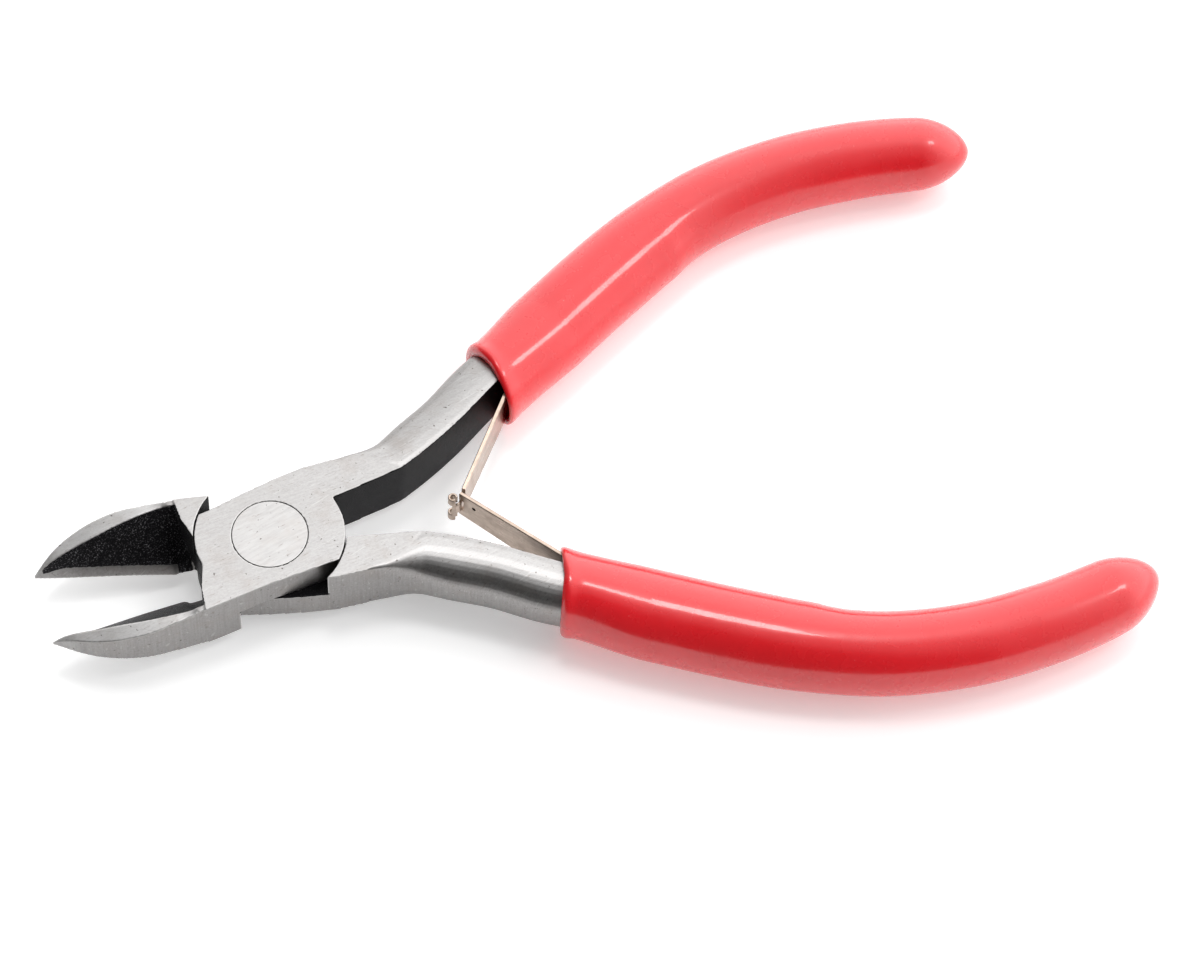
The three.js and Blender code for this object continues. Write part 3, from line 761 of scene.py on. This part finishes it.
# ---- Materials ----
class Look:
    """A material made of nodes around one Principled shader, and short calls that add nodes to it."""

    def __init__(self, name, **sockets):
        self.material = bpy.data.materials.new(name)
        self.material.use_nodes = True
        self.tree = self.material.node_tree
        self.tree.nodes.clear()
        self.shader = self.tree.nodes.new("ShaderNodeBsdfPrincipled")
        output = self.tree.nodes.new("ShaderNodeOutputMaterial")
        self.tree.links.new(self.shader.outputs[0], output.inputs["Surface"])
        self.coordinates = self.tree.nodes.new("ShaderNodeTexCoord").outputs["Object"]
        for socket, value in sockets.items():
            self.shader.inputs[socket.replace("_", " ")].default_value = value

    def feed(self, socket, value):
        if isinstance(value, bpy.types.NodeSocket):
            self.tree.links.new(value, socket)
        else:
            socket.default_value = value

    def set(self, name, value):
        self.feed(self.shader.inputs[name], value)

    def math(self, operation, a, b=0.0, clamp=False):
        node = self.tree.nodes.new("ShaderNodeMath")
        node.operation, node.use_clamp = operation, clamp
        self.feed(node.inputs[0], a)
        self.feed(node.inputs[1], b)
        return node.outputs[0]

    def stretched(self, scale, turn=0.0):
        node = self.tree.nodes.new("ShaderNodeMapping")
        node.vector_type = "TEXTURE"
        node.inputs["Scale"].default_value = [1 / share for share in scale]
        node.inputs["Rotation"].default_value[2] = turn
        self.feed(node.inputs["Vector"], self.coordinates)
        return node.outputs[0]

    def noise(self, scale, detail=3.0, roughness=0.5, stretch=(1, 1, 1), turn=0.0):
        """Noise with about `scale` features in a millimetre."""
        node = self.tree.nodes.new("ShaderNodeTexNoise")
        node.inputs["Scale"].default_value = scale / MM
        node.inputs["Detail"].default_value = detail
        node.inputs["Roughness"].default_value = roughness
        self.feed(node.inputs["Vector"], self.stretched(stretch, turn))
        return node.outputs["Fac"]

    def cells(self, scale, stretch=(1, 1, 1)):
        node = self.tree.nodes.new("ShaderNodeTexVoronoi")
        node.inputs["Scale"].default_value = scale / MM
        self.feed(node.inputs["Vector"], self.stretched(stretch))
        return node.outputs

    def spread(self, value, low, high, to_low=0.0, to_high=1.0):
        node = self.tree.nodes.new("ShaderNodeMapRange")
        self.feed(node.inputs["Value"], value)
        numbers = {"From Min": low, "From Max": high, "To Min": to_low, "To Max": to_high}
        for name, number in numbers.items():
            self.feed(node.inputs[name], number)
        return node.outputs["Result"]

    def mix(self, share, a, b):
        node = self.tree.nodes.new("ShaderNodeMix")
        node.data_type = "RGBA"
        for socket, value in ((node.inputs[0], share), (node.inputs[6], a), (node.inputs[7], b)):
            if isinstance(value, tuple) and len(value) == 3:
                value = (*value, 1.0)
            self.feed(socket, value)
        return node.outputs[2]

    def blend(self, share, a, b):
        """A number between a and b."""
        node = self.tree.nodes.new("ShaderNodeMix")
        node.data_type = "FLOAT"
        for socket, value in ((node.inputs[0], share), (node.inputs[2], a), (node.inputs[3], b)):
            self.feed(socket, value)
        return node.outputs[0]

    def attribute(self, name):
        node = self.tree.nodes.new("ShaderNodeAttribute")
        node.attribute_name = name
        return node.outputs["Fac"]

    def ahead(self, low, high):
        """Rises from 0 to 1 between two distances in front of the pivot, in millimetres."""
        split = self.tree.nodes.new("ShaderNodeSeparateXYZ")
        self.feed(split.inputs[0], self.coordinates)
        return self.spread(split.outputs["X"], -low * MM, -high * MM)

    def facing_up(self, low, high):
        """How nearly the surface lies flat, facing up or down."""
        normal = self.tree.nodes.new("ShaderNodeNewGeometry").outputs["Normal"]
        split = self.tree.nodes.new("ShaderNodeSeparateXYZ")
        self.feed(split.inputs[0], normal)
        return self.spread(self.math("ABSOLUTE", split.outputs["Z"]), low, high)

    def bump(self, height, depth):
        """Raises the surface by up to `depth` millimetres."""
        node = self.tree.nodes.new("ShaderNodeBump")
        node.inputs["Strength"].default_value = 1.0
        node.inputs["Distance"].default_value = depth * MM
        self.feed(node.inputs["Height"], height)
        self.set("Normal", node.outputs[0])


def worn(look, base, stain, amount):
    """The base colour with faint bloom, short dark scuffs and a few small pits."""
    bloom = look.spread(look.noise(0.35, 5, 0.6), 0.5, 0.75, 0, amount)
    scuffs = look.spread(look.noise(1.5, 4, 0.6, (0.7, 3.2, 1), 0.2), 0.62, 0.72, 0, 0.5)
    pits = look.spread(look.noise(2.2, 2, 0.5), 0.69, 0.75, 0, 0.8)
    stained = look.mix(scuffs, look.mix(bloom, base, stain), SCUFF)
    return look.mix(pits, stained, PIT)


def scratches(look, turn, amount):
    """A few long thin scratches that run at an angle across the tool."""
    lines = look.noise(1.0, 2, 0.5, (0.25, 7.0, 1), turn)
    return look.spread(lines, 0.66, 0.72, 0, amount)


def forged_steel():
    look = Look("forged_steel", Metallic=1.0)
    up = look.facing_up(0.86, 0.94)
    edge = look.spread(look.attribute("edge"), 0.03, 0.16)
    satin = look.noise(5.5, 4, 0.7, (0.8, 1.2, 1))
    brushed = look.blend(0.5, satin, look.noise(2.0, 5, 0.75, (0.3, 3.0, 1), 0.12))
    grinding = look.noise(1.8, 4, 0.6, (2.4, 2.4, 0.12))
    lines = look.blend(up, look.blend(0.45, satin, grinding), brushed)
    tone = look.spread(lines, 0.36, 0.64)
    flat = look.mix(tone, *FLAT_STEEL)
    # Painted highlight: flat faces more than 9 to 12 mm in front of the pivot, and sides past 21 to 22.5
    # mm, take a lighter copy of the steel
    jaw_painted_highlight = look.mix(tone, *JAW_STEEL_PAINTED_HIGHLIGHT)
    flat = look.mix(look.ahead(9, 12), flat, jaw_painted_highlight)
    # Painted shade: upright faces take the darker side copy of the steel, faces that lie flat the lighter
    # one
    side = look.mix(tone, *SIDE_STEEL_PAINTED_SHADE)
    side = look.mix(look.ahead(21, 22.5), side, jaw_painted_highlight)
    steel = look.mix(up, side, flat)
    steel = look.mix(scratches(look, 0.35, 0.5), steel, SCRATCHES[1])
    steel = look.mix(scratches(look, -0.5, 0.4), steel, SCRATCHES[0])
    steel = worn(look, steel, STEEL_STAIN, 0.4)
    # Painted highlight: the steel's colour is lightened along its rounded edges
    steel = look.mix(look.math("MULTIPLY", edge, 0.9), steel, EDGE_PAINTED_HIGHLIGHT)
    grain = look.noise(6.5, 4, 0.65)
    coarse = look.blend(look.ahead(6, 9), 0.12, look.spread(look.noise(0.4, 3), 0.35, 0.6, 0.4, 1))
    sparkle = look.math("MULTIPLY", look.spread(grain, 0.55, 0.66), coarse)
    skin = look.mix(sparkle, *FORGED_SKIN)
    fray = look.spread(look.noise(2.6, 3), 0.3, 0.7, -0.2, 0.2)
    forged = look.spread(look.math("ADD", look.attribute("forged"), fray), 0.44, 0.56)
    look.set("Base Color", look.mix(forged, steel, skin))
    dull = look.math("MAXIMUM", edge, look.ahead(20.5, 22.5))
    bare = look.blend(dull, look.spread(lines, 0.3, 0.7, 0.32, 0.42), 0.75)
    look.set("Roughness", look.blend(forged, bare, 0.5))
    height = look.blend(forged, look.math("MULTIPLY", lines, 0.4), look.math("MULTIPLY", grain, 3.5))
    look.bump(height, 0.02)
    return look.material


def rivet_steel():
    look = Look("rivet_steel", Metallic=1.0)
    lines = look.noise(1.7, 5, 0.7, (0.3, 2.4, 1), 0.25)
    steel = look.mix(look.spread(lines, 0.3, 0.7), *RIVET_STEEL)
    look.set("Base Color", worn(look, steel, RIVET_STAIN, 0.4))
    look.set("Roughness", look.spread(lines, 0.25, 0.75, 0.28, 0.42))
    look.bump(lines, 0.008)
    return look.material


def spring_nickel():
    look = Look("spring_nickel", Metallic=1.0)
    lines = look.noise(1.4, 4, 0.6, (0.5, 0.5, 4.0))
    cloud = look.noise(0.6, 4, 0.6)
    nickel = look.mix(look.spread(lines, 0.3, 0.7), *NICKEL)
    nickel = look.mix(look.spread(cloud, 0.5, 0.75, 0, 0.6), nickel, NICKEL_STAIN)
    # Painted shade: the faces marked round the leaf's hole are coloured near black
    look.set("Base Color", look.mix(look.attribute("hole_painted_shade"), nickel, LEAF_HOLE_PAINTED_SHADE))
    look.set("Roughness", look.spread(cloud, 0.3, 0.7, 0.24, 0.38))
    look.bump(lines, 0.006)
    return look.material


def grip_vinyl():
    look = Look("grip_vinyl", Coat_Weight=0.6, Coat_Roughness=0.05, IOR=1.5)
    look.shader.inputs["Subsurface Radius"].default_value = (1.0, 0.12, 0.1)
    look.shader.inputs["Subsurface Scale"].default_value = 0.0012
    look.shader.inputs["Subsurface Weight"].default_value = 0.12
    depth = look.noise(0.09, 3, 0.5)
    red = look.mix(look.spread(depth, 0.3, 0.7), *VINYL)
    speck = look.cells(1.1)
    chosen = look.math("GREATER_THAN", look.noise(0.6, 2), 0.64)
    dust = look.math("MULTIPLY", look.spread(speck["Distance"], 0.04, 0.07, 0.4, 0), chosen)
    look.set("Base Color", look.mix(dust, red, DUST))
    haze = look.noise(0.3, 4, 0.6)
    look.set("Roughness", look.spread(haze, 0.3, 0.7, 0.22, 0.32))
    look.bump(look.math("ADD", look.noise(0.35, 2), look.math("MULTIPLY", dust, 0.3)), 0.03)
    return look.material


def finish_with(made, material, body=None, stands_for=()):
    made.data.materials.clear()
    made.data.materials.append(material)
    if body:
        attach(made, body)
    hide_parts(*stands_for)


# ---- The object ----
steel, rivet_look, nickel, vinyl = forged_steel(), rivet_steel(), spring_nickel(), grip_vinyl()

finish_with(lever("top"), steel, "top_half", ["top_lever"])
finish_with(lever("bottom"), steel, "bottom_half", ["bottom_lever"])
finish_with(pivot_rivet(), rivet_look, "top_half", ["pivot_rivet"])
for half, side in (("top", 1), ("bottom", -1)):
    body = half + "_half"
    finish_with(grip(half), vinyl, body, [half + "_grip"])
    finish_with(spring_rivet(half), rivet_look, body, [half + "_spring_rivet"])
    leaf = top_leaf() if half == "top" else bottom_leaf()
    finish_with(leaf, nickel, None, [half + "_leaf_tail", half + "_leaf_arm"])
    root = np.array([LEAF_ROOT[0], side * LEAF_ROOT[1]]) * MM
    end = np.array([LEAF_MEETING[0], 0]) * MM
    along = (end - root) / np.linalg.norm(end - root)
    stop = root + along * BLEND_AFTER * MM
    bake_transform(leaf)

# ---- Floor, light and camera ----
def direction(azimuth, elevation):
    """The way from the object to a place round it: azimuth 0 is in front, at -Y, and 90 is at +X."""
    a, e = math.radians(azimuth), math.radians(elevation)
    return Vector((math.sin(a) * math.cos(e), -math.cos(a) * math.cos(e), math.sin(e)))


def stand_off(thing, target, back, distance, roll=0.0):
    """Puts a lamp or the camera at a distance from its target, facing it."""
    thing.location = target + back * distance
    thing.rotation_mode = "QUATERNION"
    turn = Quaternion((0, 0, 1), math.radians(roll))
    thing.rotation_quaternion = (-back).to_track_quat("-Z", "Y") @ turn
    bpy.context.scene.collection.objects.link(thing)


low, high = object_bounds()
corner = FLOOR_SIZE / 2
square = ((-corner, -corner), (corner, -corner), (corner, corner), (-corner, corner))
floor_mesh = bpy.data.meshes.new("floor")
floor_mesh.from_pydata([(x, y, low.z) for x, y in square], [], [(0, 1, 2, 3)])
floor = bpy.data.objects.new("floor", floor_mesh)
bpy.context.scene.collection.objects.link(floor)
paper = Look("paper", Base_Color=PAPER, Roughness=0.85, Emission_Strength=FLOOR_GLOW)
paper.set("Emission Color", (1, 1, 1, 1))
floor_mesh.materials.append(paper.material)

# The studio is a white tent that is bright on the right and behind, and dark on the camera's side.
world = bpy.data.worlds.new("studio")
bpy.context.scene.world = world
world.use_nodes = True
tent = world.node_tree
background = tent.nodes["Background"]
view = tent.nodes.new("ShaderNodeTexCoord")
towards = tent.nodes.new("ShaderNodeVectorMath")
towards.operation = "DOT_PRODUCT"
towards.inputs[1].default_value = direction(TENT_AZIMUTH, 0)
tent.links.new(view.outputs["Generated"], towards.inputs[0])
wall = tent.nodes.new("ShaderNodeValToRGB")
wall.color_ramp.interpolation = "EASE"
for stop, (place, level) in enumerate(TENT):
    element = wall.color_ramp.elements[stop] if stop < 2 else wall.color_ramp.elements.new(place)
    element.position = place
    element.color = (level, level, level, 1)
scaled = tent.nodes.new("ShaderNodeMapRange")
scaled.inputs["From Min"].default_value = -1
tent.links.new(towards.outputs["Value"], scaled.inputs["Value"])
tent.links.new(scaled.outputs["Result"], wall.inputs["Fac"])
tent.links.new(wall.outputs["Color"], background.inputs["Color"])
background.inputs["Strength"].default_value = 1.0

for name, (azimuth, elevation, size, power) in LAMPS.items():
    lamp = bpy.data.lights.new(name, "AREA")
    lamp.size = size
    lamp.energy = power
    light = bpy.data.objects.new(name, lamp)
    stand_off(light, (low + high) / 2, direction(azimuth, elevation), LAMP_DISTANCE)

camera = bpy.data.objects.new("camera", bpy.data.cameras.new("camera"))
camera.data.lens = CAMERA_LENS
camera.data.sensor_width = CAMERA_SENSOR
camera.data.clip_start = 0.01
aim = (cad_box[0] + cad_box[1]) / 2 + AIM * MM
back = direction(CAMERA_AZIMUTH, CAMERA_ELEVATION)
stand_off(camera, aim, back, CAMERA_DISTANCE, CAMERA_ROLL)
bpy.context.scene.camera = camera
bpy.context.scene.view_settings.view_transform = "Standard"
